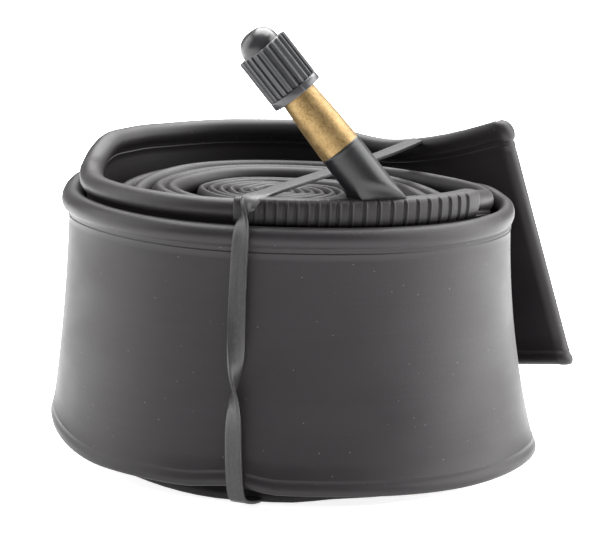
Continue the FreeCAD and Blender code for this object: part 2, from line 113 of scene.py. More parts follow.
# half thickness of the bead: full where the strands hang loose, pinched where they are wound tight
# and, by TIP_PINCH, at the tail's tip
TIP_PINCH = 0.75
BEAD = [(60, 2.25), (180, 2.45), (260, 2.3), (350, 1.6), (430, 1.5), (520, 1.8), (700, 1.8), (1080, 1.6),
        (1200, 0.98)]


def ramp(low, high, value):
    """0 below low, 1 above high, and an S-shaped ramp between."""
    part = np.clip((value - low) / (high - low), 0.0, 1.0)
    return part * part * (3.0 - 2.0 * part)


def blended(keys, angle):
    """Values of a key list at the turn angles, level beyond its ends."""
    value = np.full_like(angle, keys[0][1], dtype=float)
    for (start, first), (end, second) in zip(keys, keys[1:]):
        inside = angle > start
        value[inside] = first + (second - first) * ramp(start, end, angle[inside])
    return value


def strand_plan(radius_keys, angle, crown):
    """Plan position of a strand's middle; crown is 0 at the rim edge and 1 at the crown edge."""
    radius = blended(radius_keys, angle)
    radius = radius - COIL_PITCH / 360.0 * np.maximum(angle - radius_keys[-1][0], 0.0)
    drift = ramp(DRIFT_ANGLES[0], DRIFT_ANGLES[1], angle)
    inside = ramp(FLARE_ANGLES[0], FLARE_ANGLES[1], angle) - ramp(FLARE_ANGLES[2], FLARE_ANGLES[3], angle)
    turn = np.radians(angle)
    wider = 1.0 + (CROWN_FLARE + (INNER_FLARE - CROWN_FLARE) * inside) * crown
    across = (DRIFT[0] * drift + radius * np.cos(turn)) * wider + CROWN_SHIFT * crown
    along = (DRIFT[1] * drift + radius * np.sin(turn)) * wider
    return np.stack([across, along], axis=-1)


def fold(start, end, steps):
    """Half a turn in plan from start to end, without its two ends."""
    middle, arm = (start + end) / 2.0, (start - end) / 2.0
    side = np.array([arm[1], -arm[0]])
    turns = np.pi * np.arange(1, steps) / steps
    return np.array([middle + arm * np.cos(turn) + side * np.sin(turn) for turn in turns])


class Strip:
    """The closed middle line of the pressed ring, from the inner fold out to the tail and back."""

    def __init__(self, step):
        last = TAIL_ANGLE + 360.0 * ROLL_TURNS
        angles = [TAIL_ANGLE]
        while angles[-1] < last:
            radius = blended(OUTER_RADIUS, np.array([angles[-1]]))[0]
            radius -= COIL_PITCH / 360.0 * max(angles[-1] - OUTER_RADIUS[-1][0], 0.0)
            angles.append(angles[-1] + math.degrees(step(angles[-1]) / max(radius, 4.0)))
        angles = np.array(angles)
        self.lines = [self.level(angles, crown) for crown in (0.0, 1.0)]
        self.side, self.angle, self.tail = self.lines[0][2:]
        self.bead = blended(BEAD, self.angle) - TIP_PINCH * ramp(0.55, 1.0, self.tail)

    def level(self, angles, crown):
        """Closed plan line, heights, side marks and turn angles at the rim or the crown edge."""
        outer = strand_plan(OUTER_RADIUS, angles, crown)
        inner = strand_plan(INNER_RADIUS, angles, crown)
        outer_height = blended(OUTER_FOOT if crown else OUTER_TOP, angles)
        inner_height = blended(INNER_FOOT if crown else INNER_TOP, angles)
        away = np.array([math.sin(math.radians(TAIL_ANGLE)), -math.cos(math.radians(TAIL_ANGLE))])
        length, tip_height = TAIL_LENGTH[int(crown)], TAIL_HEIGHT[int(crown)]
        middle = (outer[0] + inner[0]) / 2.0
        gap = np.linalg.norm(outer[0] - inner[0]) / 2.0
        spread = (outer[0] - inner[0]) / (2.0 * gap)
        parts = np.linspace(0.0, 1.0, 15)[1:]
        run = middle + away * ((length - TAIL_FOLD) * parts)[:, None]
        half_gap = (gap * (1.0 - parts) + TAIL_FOLD * parts)[:, None]
        out_tail, in_tail = run + spread * half_gap, run - spread * half_gap
        tip = fold(out_tail[-1], in_tail[-1], 8)
        core = fold(inner[-1], outer[-1], 8)
        plan = np.concatenate([core, outer[::-1], out_tail, tip, in_tail[::-1], inner])
        rise = parts if crown else parts ** TAIL_RISE_POWER
        out_rise = outer_height[0] + (tip_height - outer_height[0]) * rise
        in_rise = inner_height[0] + (tip_height - inner_height[0]) * rise
        height = np.concatenate([np.full(len(core), inner_height[-1]), outer_height[::-1], out_rise,
                                 np.full(len(tip), tip_height), in_rise[::-1], inner_height])
        side = np.concatenate([np.zeros(len(core)), np.ones(len(angles)), np.ones(len(parts)),
                               np.zeros(len(tip)), -np.ones(len(parts)), -np.ones(len(angles))])
        angle = np.concatenate([np.full(len(core), angles[-1]), angles[::-1], np.full(len(parts), TAIL_ANGLE),
                                np.full(len(tip), TAIL_ANGLE), np.full(len(parts), TAIL_ANGLE), angles])
        tail = np.concatenate([np.zeros(len(core) + len(angles)), parts, np.ones(len(tip)), parts[::-1],
                               np.zeros(len(angles))])
        return plan, height, side, angle, tail

    def surface(self, across, drop):
        """Points of a section (across, drop from the rim edge) carried along the whole line."""
        (rim_plan, rim_height, *_), (crown_plan, crown_height, *_) = self.lines
        tall = rim_height - crown_height
        far_edge = STRIP_HEIGHT - EDGE_DEPTH
        rim_part = np.clip(drop, 0.0, EDGE_DEPTH)
        crown_part = np.clip(drop - far_edge, 0.0, EDGE_DEPTH)
        middle_part = (np.clip(drop, EDGE_DEPTH, far_edge) - EDGE_DEPTH) / (far_edge - EDGE_DEPTH)
        height = (rim_height[:, None] - rim_part - crown_part
                  - middle_part * (tall[:, None] - 2.0 * EDGE_DEPTH))
        low = np.clip((rim_height[:, None] - height) / tall[:, None], 0.0, 1.0)
        power = FLARE_POWER + (1.0 - FLARE_POWER) * ramp(0.0, 0.6, self.tail)[:, None]
        mix = (low ** power)[..., None]
        plan = rim_plan[:, None, :] * (1.0 - mix) + crown_plan[:, None, :] * mix
        forward = np.roll(plan, -1, axis=0) - np.roll(plan, 1, axis=0)
        normal = np.stack([forward[..., 1], -forward[..., 0]], axis=-1)
        normal /= np.linalg.norm(normal, axis=-1, keepdims=True)
        plan = plan + normal * across[..., None]
        return np.concatenate([plan, height[..., None]], axis=-1)


def tube_section(bead):
    """Half section from the rim edge down to the crown edge: (outward distance, drop), bead by bead."""
    turns = np.radians(np.linspace(0.0, 150.0, 11))
    loop = [(bead * math.sin(turn), 2.2 * (1.0 - math.cos(turn))) for turn in turns]
    swell = max(bead - WALL, 0.0)
    neck = [(WALL + swell * 0.2, 4.35), (WALL + swell * 0.05, 4.75), (WALL + 0.02, 4.95), (WALL + 0.15, 5.05),
            (WALL + 0.15, 5.12), (WALL, 5.25)]
    face = [(WALL, drop) for drop in np.linspace(6.5, STRIP_HEIGHT - 6.5, 16)]
    foot_bead = min(bead, 1.2)
    low = [(WALL, STRIP_HEIGHT - 3.6), (WALL + 0.15, STRIP_HEIGHT - 3.3), (WALL + 0.18, STRIP_HEIGHT - 3.1),
           (WALL + 0.05, STRIP_HEIGHT - 2.85)]
    turns = np.radians(np.linspace(55.0, 180.0, 8))
    foot = [(foot_bead * math.sin(turn), STRIP_HEIGHT - 1.45 * (1.0 + math.cos(turn))) for turn in turns]
    return np.array(loop + neck + face + low + foot)


def rolled_grid(name, rows, columns):
    """A flat grid, closed into a ring both ways once its points are placed."""
    bpy.ops.object.select_all(action="DESELECT")
    bpy.ops.mesh.primitive_grid_add(x_subdivisions=rows, y_subdivisions=columns, size=1.0)
    piece = bpy.context.object
    piece.name = name
    piece.data.name = name
    flat = np.zeros(len(piece.data.vertices) * 3)
    piece.data.vertices.foreach_get("co", flat)
    flat = flat.reshape(-1, 3)
    row = np.rint((flat[:, 0] + 0.5) * rows).astype(int)
    column = np.rint((flat[:, 1] + 0.5) * columns).astype(int)
    return piece, row, column


def place_points(piece, points, merge):
    """Put the piece's points where they belong, weld the seams and point the faces outwards."""
    piece.data.vertices.foreach_set("co", (np.asarray(points) * MM).ravel())
    piece.data.update()
    bpy.context.view_layer.objects.active = piece
    bpy.ops.object.mode_set(mode="EDIT")
    bpy.ops.mesh.select_all(action="SELECT")
    bpy.ops.mesh.remove_doubles(threshold=merge * MM)
    bpy.ops.mesh.normals_make_consistent(inside=False)
    bpy.ops.object.mode_set(mode="OBJECT")
    bpy.ops.object.shade_smooth()


def tube_step(angle):
    """Distance between sections: closer on the outer turn, which shows."""
    return 2.2 if angle < 420.0 else 3.0


def rim_wave(turn):
    """Slow unevenness of the soft rim round the roll, so that no edge runs dead level."""
    return 0.16 * np.sin(2.3 * turn + 0.6)


strip = Strip(tube_step)
stations = len(strip.angle)
half = np.array([tube_section(bead) for bead in strip.bead])
back = half[:, -2:0:-1] * np.array([-1.0, 1.0])
section = np.concatenate([half, back], axis=1)
turn = np.radians(strip.angle)
wander = rim_wave(turn) + 0.1 * np.sin(5.1 * turn + 2.0)
points = strip.surface(section[..., 0], section[..., 1])
points[..., 2] += wander[:, None] * np.clip(points[..., 2] / 20.0, 0.0, 1.0)
columns = section.shape[1]
tube, row, column = rolled_grid("tube_rubber", stations, columns)
place_points(tube, points[row % stations, column % columns], 0.02)


class Socket:
    """A shader value or colour that can be written in sums."""

    def __init__(self, maker, socket):
        self.maker, self.socket = maker, socket

    def _math(self, operation, other):
        return self.maker.node("ShaderNodeMath", {"operation": operation}, {0: self, 1: other})

    def __add__(self, other):
        return self._math("ADD", other)

    def __mul__(self, other):
        return self._math("MULTIPLY", other)

    __radd__ = __add__
    __rmul__ = __mul__


class Finish:
    """A material under construction: its nodes, its coordinates and its Principled shader."""

    def __init__(self, name):
        self.material = bpy.data.materials.new(name)
        self.material.use_nodes = True
        self.tree = self.material.node_tree
        self.shader = self.tree.nodes["Principled BSDF"]

    def node(self, kind, settings=None, inputs=None, output=0):
        made = self.tree.nodes.new(kind)
        for key, value in (settings or {}).items():
            setattr(made, key, value)
        for key, value in (inputs or {}).items():
            if isinstance(value, Socket):
                self.tree.links.new(value.socket, made.inputs[key])
            elif value is not None:
                made.inputs[key].default_value = value
        return Socket(self, made.outputs[output])

    def place(self, output="Object"):
        return self.node("ShaderNodeTexCoord", output=output)

    def scaled(self, vector, scale):
        return self.node("ShaderNodeMapping", inputs={"Vector": vector, "Scale": scale})

    def noise(self, vector, scale, detail=2.0, roughness=0.5):
        return self.node("ShaderNodeTexNoise", inputs={"Vector": vector, "Scale": scale, "Detail": detail,
                                                       "Roughness": roughness})

    def between(self, value, low, high, first=0.0, second=1.0):
        """A value between two limits, taken to two others and held there."""
        return self.node("ShaderNodeMapRange", {"clamp": True},
                         {"Value": value, "From Min": low, "From Max": high,
                          "To Min": first, "To Max": second})

    def blend(self, part, first, second):
        return self.node("ShaderNodeMix", {"data_type": "RGBA"}, {0: part, 6: first, 7: second}, output=2)

    def bump(self, value, distance, strength=1.0):
        return self.node("ShaderNodeBump",
                         inputs={"Height": value, "Distance": distance, "Strength": strength})

    def finish(self, piece, **sockets):
        names = {"colour": "Base Color", "roughness": "Roughness", "metallic": "Metallic",
                 "normal": "Normal", "specular": "Specular IOR Level"}
        for key, value in sockets.items():
            target = self.shader.inputs[names[key]]
            if isinstance(value, Socket):
                self.tree.links.new(value.socket, target)
            else:
                target.default_value = value
        piece.data.materials.clear()
        piece.data.materials.append(self.material)


def butyl(piece, name, tone):
    """Cured butyl: dark warm grey, matt, with fine streaks along the ring and specks of dust."""
    paint = Finish(name)
    place, flat = paint.place(), paint.place("UV")
    streaks = paint.noise(paint.scaled(flat, (30.0, 300.0, 1.0)), 1.0, 5.0, 0.65)
    cloud = paint.noise(paint.scaled(place, (40.0, 40.0, 90.0)), 1.0, 3.0)
    grain = paint.noise(place, 2600.0, 2.0)
    dots = paint.node("ShaderNodeTexVoronoi", {"feature": "F1"}, {"Vector": place, "Scale": 420.0})
    speck = paint.between(dots, 0.035, 0.05, 1.0, 0.0)
    dark = tuple(channel * 0.78 for channel in tone) + (1.0,)
    light = tuple(channel * 1.3 for channel in tone) + (1.0,)
    base = paint.blend(paint.between(streaks * 0.4 + cloud * 0.6, 0.25, 0.75), dark, light)
    colour = paint.blend(speck * 0.3, base, (0.30, 0.28, 0.26, 1.0))
    relief = grain * 0.7 + streaks * 0.4
    paint.finish(piece, colour=colour, roughness=paint.between(cloud, 0.3, 0.7, 0.42, 0.54), specular=0.2,
                 normal=paint.bump(relief, 0.00006, 0.5))


butyl(tube, "butyl", (0.0108, 0.0094, 0.0104))
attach(tube, "roll")
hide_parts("tube")


# ------------------------------------------------------------------------------------------------
# Valve patch
# A thicker strip of rubber cured over the rim edge where the valve comes out. Fine upright ribs
# let trapped air out between it and the rim.
# ------------------------------------------------------------------------------------------------
cap_joint = [joint for joint in frame["joints"] if joint["name"] == "cap_turn"][0]
valve_axis = Vector(cap_joint["axis"]).normalized()
# how far the cap's hinge is placed up the stem's axis, whose start is the foot
HINGE_HEIGHT = 30.0
valve_foot = Vector(cap_joint["pos_m"]) - valve_axis * HINGE_HEIGHT * MM
VALVE_LEAN = math.atan2(valve_axis.x, valve_axis.z)
VALVE_PLACE = Matrix.Translation(valve_foot) @ Matrix.Rotation(VALVE_LEAN, 4, "Y")
PATCH_SPAN = (-41.0, 35.0)
PATCH_STEP = 0.12
RIB_PITCHES = [2.7] * 8 + [3.3, 3.7, 3.9, 3.9, 3.9, 3.9, 3.8, 3.8, 3.8, 3.8, 3.8]
RIB_START = -35.0
RIB_RISE = 0.3
RIB_WIDTH = 0.24
GROOVE_DEPTH = 0.26
GROOVE_WIDTH = 0.34
GROOVE_PLACE = 0.62
# how much of a rib each of the first columns of the face carries
RIB_SHARE = [0.2, 0.6, 1.0, 1.0, 1.0, 1.0, 1.0, 1.0, 0.7, 0.3]
# (outward, down) from the rim edge's top: over the bead and back under it
PATCH_FACE = [(1.6, 4.9), (2.1, 4.75), (2.45, 4.2), (2.6, 3.4), (2.68, 2.6), (2.7, 1.8), (2.68, 1.0),
              (2.55, 0.3), (2.2, -0.2), (1.5, -0.42), (0.6, -0.5), (-0.6, -0.48), (-1.5, -0.25),
              (-2.2, 0.35), (-2.45, 1.2), (-2.3, 2.2), (-1.9, 2.6)]
PATCH_BACK = [(-1.7, 1.9), (-1.5, 1.0), (-0.6, 0.5), (0.6, 0.5), (1.5, 1.0), (1.8, 2.2), (1.4, 3.6),
              (1.0, 4.4)]

foot_turn = math.degrees(math.atan2(valve_foot.y, valve_foot.x)) % 360.0
patch_radius = blended(INNER_RADIUS, np.array([foot_turn]))[0]
degrees_per_step = math.degrees(PATCH_STEP / patch_radius)
patch_turn = foot_turn + np.arange(PATCH_SPAN[0], PATCH_SPAN[1], degrees_per_step)
profile = np.array(PATCH_FACE + PATCH_BACK)
middle = strand_plan(INNER_RADIUS, patch_turn, 0.0)
outward = np.stack([np.cos(np.radians(patch_turn)), np.sin(np.radians(patch_turn))], axis=-1)
# each rib is a thin crest with a groove beside it
ridge = np.zeros_like(patch_turn)
for crest_turn in RIB_START + np.concatenate([[0.0], np.cumsum(RIB_PITCHES)]):
    from_crest = patch_turn - foot_turn - crest_turn
    ridge += RIB_RISE * np.exp(-(from_crest / RIB_WIDTH) ** 2)
    ridge -= GROOVE_DEPTH * np.exp(-((from_crest + GROOVE_PLACE) / GROOVE_WIDTH) ** 2)
shape = np.zeros(len(profile))
shape[:len(RIB_SHARE)] = RIB_SHARE
# the patch thins out over the last millimetre at each end
ends = np.clip(np.minimum(patch_turn - patch_turn[0], patch_turn[-1] - patch_turn) / 1.2, 0.0, 1.0)
thin = 0.88 + 0.12 * np.sqrt(ends)
across = profile[:, 0] * thin[:, None] + ridge[:, None] * shape
top = blended(INNER_TOP, patch_turn) + rim_wave(np.radians(patch_turn))
height = top[:, None] - profile[:, 1] * thin[:, None] + np.zeros_like(across)
plan = middle[:, None, :] + outward[:, None, :] * across[..., None]
points = np.concatenate([plan, height[..., None]], axis=-1)
cores = points.mean(axis=1, keepdims=True) + np.zeros_like(points)
points = np.concatenate([cores[:1], points, cores[-1:]])
patch, row, column = rolled_grid("valve_patch_rubber", len(points) - 1, len(profile))
place_points(patch, points[row, column % len(profile)], 0.02)
butyl(patch, "patch_rubber", (0.0120, 0.0106, 0.0116))
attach(patch, "roll")
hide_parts("valve_patch")


# ------------------------------------------------------------------------------------------------
# Stem cover
# Hard glossy rubber moulded round the root of the stem as a straight sleeve and cured on to the
# patch. It is cut off square where the bare brass begins, and level just inside the patch.
# ------------------------------------------------------------------------------------------------
def turned(name, outline, sides=96):
    """A ring extruded and widened from point to point of a closed outline of (radius, distance up)."""
    bpy.ops.object.select_all(action="DESELECT")
    bpy.ops.mesh.primitive_circle_add(vertices=sides, radius=outline[0][0] * MM)
    piece = bpy.context.object
    piece.name = name
    piece.data.name = name
    bpy.ops.object.mode_set(mode="EDIT")
    bpy.ops.mesh.select_all(action="SELECT")
    bpy.ops.transform.translate(value=(0.0, 0.0, outline[0][1] * MM))
    for (radius, distance), (next_radius, next_distance) in zip(outline, outline[1:] + outline[:1]):
        rise = (next_distance - distance) * MM
        bpy.ops.mesh.extrude_region_move(TRANSFORM_OT_translate={"value": (0.0, 0.0, rise)})
        wider = next_radius / radius
        bpy.ops.transform.resize(value=(wider, wider, 1.0))
    bpy.ops.mesh.select_all(action="SELECT")
    bpy.ops.mesh.remove_doubles(threshold=0.02 * MM)
    bpy.ops.mesh.normals_make_consistent(inside=False)
    bpy.ops.object.mode_set(mode="OBJECT")
    bpy.ops.object.shade_smooth_by_angle(angle=math.radians(35.0))
    return piece


def stand_on_valve(piece):
    """Lean a piece over with the stem and leave its place in its mesh."""
    piece.matrix_world = VALVE_PLACE
    bpy.ops.object.select_all(action="DESELECT")
    piece.select_set(True)
    bpy.context.view_layer.objects.active = piece
    bpy.ops.object.transform_apply(location=True, rotation=True, scale=True)


def points_of(piece):
    flat = np.zeros(len(piece.data.vertices) * 3)
    piece.data.vertices.foreach_get("co", flat)
    return flat.reshape(-1, 3)


def move_points(piece, points):
    piece.data.vertices.foreach_set("co", points.ravel())
    piece.data.update()


COVER_RADIUS = 4.25
COVER_LOW = -4.5
COVER_TOP = 13.5
ROOT_RADIUS = 3.3
COVER_SINK = 0.7
# past this distance from the roll's axis the front is drawn in, fading out over these heights
FRONT_REACH = 41.9
FRONT_DRAW = 1.15
FRONT_FADE = (-0.5, 3.8)
cover_side = [(COVER_RADIUS, distance) for distance in np.linspace(COVER_LOW, COVER_TOP - 0.6, 26)]
cover = turned("stem_cover", [(ROOT_RADIUS, COVER_LOW)] + cover_side + [
    (COVER_RADIUS + 0.04, COVER_TOP - 0.45), (COVER_RADIUS - 0.02, COVER_TOP - 0.15),
    (COVER_RADIUS - 0.12, COVER_TOP), (ROOT_RADIUS + 0.6, COVER_TOP), (ROOT_RADIUS, COVER_TOP - 0.1)])
stand_on_valve(cover)
patch_top = top[np.abs(patch_turn - foot_turn).argmin()] + 0.5
# cut level just inside the patch
bpy.ops.object.mode_set(mode="EDIT")
bpy.ops.mesh.select_all(action="SELECT")
bpy.ops.mesh.bisect(plane_co=(0.0, 0.0, (patch_top - COVER_SINK) * MM), plane_no=(0.0, 0.0, 1.0),
                    use_fill=True, clear_inner=True)
bpy.ops.object.mode_set(mode="OBJECT")
# the foot's front flattens towards the patch, so that it stays inside the rim edge
spots = points_of(cover) / MM
reach = np.hypot(spots[:, 0], spots[:, 1])
near = 1.0 - ramp(FRONT_FADE[0], FRONT_FADE[1], spots[:, 2] - patch_top)
spots[:, 1] += FRONT_DRAW * np.maximum(reach - FRONT_REACH, 0.0) * near
move_points(cover, spots * MM)

cover_finish = Finish("moulded_cover")
place = cover_finish.place()
mottle = cover_finish.noise(place, 260.0, 3.0)
fine = cover_finish.noise(place, 1900.0, 2.0)
cover_black = cover_finish.blend(mottle, (0.002, 0.002, 0.0024, 1.0), (0.004, 0.004, 0.005, 1.0))
cover_finish.finish(cover, colour=cover_black,
                    roughness=cover_finish.between(fine + mottle, 0.7, 1.3, 0.34, 0.44), specular=0.34,
                    normal=cover_finish.bump(fine, 0.00003, 0.4))
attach(cover, "roll")
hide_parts("stem_jacket")


# ------------------------------------------------------------------------------------------------
# Stem
# Turned from brass bar and left with its sandy, unpolished skin. The cap's thread is cut round
# the top, and the core screws into its bore.
# ------------------------------------------------------------------------------------------------
STEM_LOW = 4.8
STEM_BORE = 1.9
NECK_LENGTH = 13.5
THREAD_LOW = 27.3
THREAD_TOP = 36.8
THREAD_RADIUS = 3.85
THREAD_DEPTH = 0.4
THREAD_PITCH = 0.794
NECK_RADIUS = (4.15, 3.5)
THREAD_ROWS_PER_TURN = 9

neck = [(NECK_RADIUS[0] + (NECK_RADIUS[1] - NECK_RADIUS[0]) * part ** 1.6,
         COVER_TOP - 0.2 + NECK_LENGTH * part)
        for part in np.linspace(0.0, 1.0, 12)]
thread_count = int((THREAD_TOP - 0.5 - THREAD_LOW) / THREAD_PITCH * THREAD_ROWS_PER_TURN)
thread = [(THREAD_RADIUS, distance) for distance in np.linspace(THREAD_LOW, THREAD_TOP - 0.5, thread_count)]
root = [(STEM_BORE, STEM_LOW), (ROOT_RADIUS, STEM_LOW), (ROOT_RADIUS, COVER_TOP - 0.3)]
stem = turned("brass_stem", root + neck + thread + [
    (THREAD_RADIUS - 0.35, THREAD_TOP - 0.1), (THREAD_RADIUS - 0.5, THREAD_TOP), (2.95, THREAD_TOP),
    (2.7, THREAD_TOP - 0.25), (2.65, 31.2), (STEM_BORE, 29.2)], 72)
spots = points_of(stem) / MM
radius = np.hypot(spots[:, 0], spots[:, 1])
turns = np.arctan2(spots[:, 1], spots[:, 0]) / (2.0 * math.pi)
phase = (spots[:, 2] / THREAD_PITCH - turns) % 1.0
groove = THREAD_DEPTH * (1.0 - np.clip(np.abs(2.0 * phase - 1.0) * 1.25 - 0.1, 0.0, 1.0))
fade = ramp(THREAD_LOW - 0.2, THREAD_LOW + 0.8, spots[:, 2]) * (radius > THREAD_RADIUS - 0.1)
spots[:, :2] *= (1.0 - groove * fade / radius)[:, None]
move_points(stem, spots * MM)
stand_on_valve(stem)


def brass(piece, name, roughness=(0.36, 0.52)):
    """Yellow brass with a sandy skin, tarnished in small patches."""
    paint = Finish(name)
    place = paint.place()
    cloud = paint.noise(place, 420.0, 3.0, 0.6)
    sand = paint.noise(place, 2300.0, 2.0, 0.6)
    base = paint.blend(paint.between(cloud * 0.45 + sand * 0.55, 0.36, 0.64), (0.13, 0.082, 0.030, 1.0),
                       (0.25, 0.17, 0.075, 1.0))
    paint.finish(piece, colour=base, metallic=0.82,
                 roughness=paint.between(sand, 0.3, 0.7, roughness[0], roughness[1]),
                 normal=paint.bump(sand + cloud, 0.00006, 0.5))


brass(stem, "sandy_brass")
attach(stem, "roll")
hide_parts("valve_stem")


# ------------------------------------------------------------------------------------------------
# Valve core
# A swivel plug screwed into the stem presses a seal ring and a drilled barrel on to their seat.
# Inside, a spring lifts the pin, so that the cup and its rubber washer close the barrel's end.
# ------------------------------------------------------------------------------------------------
PLUG_RADIUS = 2.6
PLUG_TOP = 36.4
plug = turned("swivel_plug", [(0.95, 31.6), (PLUG_RADIUS - 0.2, 31.6), (PLUG_RADIUS, 31.8)]
              + [(PLUG_RADIUS - 0.22 * (step % 2), 31.9 + 0.35 * step) for step in range(9)]
              + [(PLUG_RADIUS - 0.6, 35.0), (PLUG_RADIUS - 0.6, PLUG_TOP - 0.2),
                 (PLUG_RADIUS - 0.8, PLUG_TOP), (1.05, PLUG_TOP), (0.95, PLUG_TOP - 0.15)], 48)
# two flats for the core key
spots = points_of(plug) / MM
above = spots[:, 2] > 34.9
spots[above, 0] = np.clip(spots[above, 0], -1.25, 1.25)
move_points(plug, spots * MM)
stand_on_valve(plug)
brass(plug, "core_brass", (0.25, 0.38))
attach(plug, "roll")
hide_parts("core_plug")

for node in ("core_barrel", "core_pin", "core_cup"):
    brass(frame["nodes"][node], node + "_brass", (0.25, 0.38))


def soft_rubber(piece, name, tone):
    """Small moulded rubber piece, matt and slightly mottled."""
    paint = Finish(name)
    place = paint.place()
    mottle = paint.noise(place, 900.0, 3.0)
    dark = tuple(0.7 * part for part in tone) + (1.0,)
    paint.finish(piece, colour=paint.blend(mottle, dark, tone + (1.0,)),
                 roughness=paint.between(mottle, 0.3, 0.7, 0.5, 0.68),
                 normal=paint.bump(mottle, 0.00004, 0.5))


soft_rubber(frame["nodes"]["core_packing"], "packing_rubber", (0.32, 0.05, 0.04))
soft_rubber(frame["nodes"]["core_seal"], "washer_rubber", (0.03, 0.03, 0.032))

# The spring is drawn steel wire, wound open. It stands on the barrel's floor and lifts the pin's
# collar.
SPRING_RADIUS = 0.8
WIRE_RADIUS = 0.14
SPRING_TURNS = 7
SPRING_ENDS = (23.67, 29.63)
WIRE_SIDES = 10

turn = np.linspace(0.0, 2.0 * math.pi * SPRING_TURNS, SPRING_TURNS * 24 + 1)
away = np.stack([np.cos(turn), np.sin(turn), np.zeros_like(turn)], axis=-1)
rise = np.linspace(SPRING_ENDS[0], SPRING_ENDS[1], len(turn))
wire = away * SPRING_RADIUS + rise[:, None] * np.array([0.0, 0.0, 1.0])
around = 2.0 * math.pi * np.arange(WIRE_SIDES) / WIRE_SIDES
points = (wire[:, None, :] + away[:, None, :] * (WIRE_RADIUS * np.cos(around))[None, :, None]
          + np.array([0.0, 0.0, 1.0]) * (WIRE_RADIUS * np.sin(around))[None, :, None])
cores = wire[:, None, :] + np.zeros_like(points)
points = np.concatenate([cores[:1], points, cores[-1:]])
spring, row, column = rolled_grid("valve_spring", len(points) - 1, WIRE_SIDES)
place_points(spring, points[row, column % WIRE_SIDES], 0.005)
stand_on_valve(spring)

spring_finish = Finish("drawn_spring_steel")
drawn = spring_finish.noise(spring_finish.place(), 3200.0, 2.0)
spring_finish.finish(spring, metallic=1.0,
                     colour=spring_finish.blend(drawn, (0.42, 0.42, 0.43, 1.0), (0.62, 0.61, 0.6, 1.0)),
                     roughness=spring_finish.between(drawn, 0.3, 0.7, 0.22, 0.36))
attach(spring, "roll")
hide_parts("core_spring")
pin_joint = [joint for joint in frame["joints"] if joint["name"] == "pin_press"][0]
pin_travel = max(abs(limit) for limit in pin_joint["range_m"]) / MM
1.0 - pin_travel / (SPRING_ENDS[1] - SPRING_ENDS[0])
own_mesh(spring)


# ------------------------------------------------------------------------------------------------
# Dust cap
# Moulded in one piece from dark plastic: a plain flange at the open end, upright grip ribs, a
# step and a rounded dome. A rubber disc is pushed in against the end.
# ------------------------------------------------------------------------------------------------
CAP_LOW = 26.6
FLANGE_TOP = CAP_LOW + 1.6
SHOULDER = CAP_LOW + 11.2
FLANGE_RADIUS = 5.3
CAP_RADIUS = 4.78
DOME_RADIUS = 3.95
CAP_BORE = 3.98
CAP_CEILING = 37.72
RIB_COUNT = 24
RIB_DEPTH = 0.52
ROWS_PER_RIB = 12

wall = [(CAP_RADIUS, distance) for distance in np.linspace(FLANGE_TOP + 0.12, SHOULDER - 0.12, 12)]
dome = [(DOME_RADIUS * math.cos(turn) ** 0.8 + 0.01, SHOULDER + 0.35 + 3.45 * math.sin(turn))
        for turn in np.radians(np.linspace(0.0, 90.0, 14))]
cap = turned("dust_cap", [
    (CAP_BORE, CAP_LOW + 0.2), (CAP_BORE + 0.2, CAP_LOW), (FLANGE_RADIUS - 0.2, CAP_LOW),
    (FLANGE_RADIUS - 0.05, CAP_LOW + 0.08), (FLANGE_RADIUS, CAP_LOW + 0.25),
    (FLANGE_RADIUS, FLANGE_TOP - 0.2), (FLANGE_RADIUS - 0.08, FLANGE_TOP - 0.05),
    (CAP_RADIUS + 0.2, FLANGE_TOP)] + wall + [
    (CAP_RADIUS - 0.1, SHOULDER), (DOME_RADIUS + 0.12, SHOULDER), (DOME_RADIUS + 0.02, SHOULDER + 0.12)]
    + dome + [(0.01, CAP_CEILING), (CAP_BORE - 0.1, CAP_CEILING), (CAP_BORE, CAP_CEILING - 0.12)],
    RIB_COUNT * ROWS_PER_RIB)
spots = points_of(cap) / MM
radius = np.hypot(spots[:, 0], spots[:, 1])
turns = np.arctan2(spots[:, 1], spots[:, 0]) / (2.0 * math.pi) * RIB_COUNT
crest = np.clip(1.35 * np.cos(2.0 * math.pi * turns) - 0.1, 0.0, 1.0)
between_steps = (spots[:, 2] > FLANGE_TOP + 0.05) * (spots[:, 2] < SHOULDER + 0.01)
on_wall = (np.abs(radius - CAP_RADIUS) < 0.15) * between_steps
spots[:, :2] *= (1.0 + RIB_DEPTH * crest * on_wall / np.maximum(radius, 0.01))[:, None]
move_points(cap, spots * MM)
stand_on_valve(cap)

cap_finish = Finish("cap_plastic")
place = cap_finish.place()
satin = cap_finish.noise(place, 700.0, 3.0)
grain = cap_finish.noise(place, 3600.0, 1.0)
# painted highlight: the sharp edges are painted paler, where they would catch the light
edge_highlight_paint = cap_finish.between(cap_finish.node("ShaderNodeNewGeometry", output="Pointiness"), 0.52, 0.60)
cap_base = cap_finish.blend(satin, (0.007, 0.007, 0.008, 1.0), (0.014, 0.014, 0.016, 1.0))
# the pale grey mixed in on the sharp edges is a painted highlight
cap_finish.finish(cap, colour=cap_finish.blend(edge_highlight_paint * 0.5, cap_base, (0.11, 0.11, 0.12, 1.0)),
                  roughness=cap_finish.between(satin, 0.3, 0.7, 0.26, 0.38), specular=0.45,
                  normal=cap_finish.bump(grain, 0.00003, 0.4))
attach(cap, "cap")
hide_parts("valve_cap")

soft_rubber(frame["nodes"]["cap_seal"], "cap_seal_rubber", (0.035, 0.034, 0.036))


# ------------------------------------------------------------------------------------------------
# Rubber band
# One flat grey band stretched round the roll: over the rims behind the stem, down the front,
# under the crown edges and up the back. It turns over once at the front rim and back lower down.
# ------------------------------------------------------------------------------------------------
BAND_WIDTH = 3.4
BAND_THICKNESS = 0.75
BAND_EDGE = 0.16
BAND_STEP = 0.7
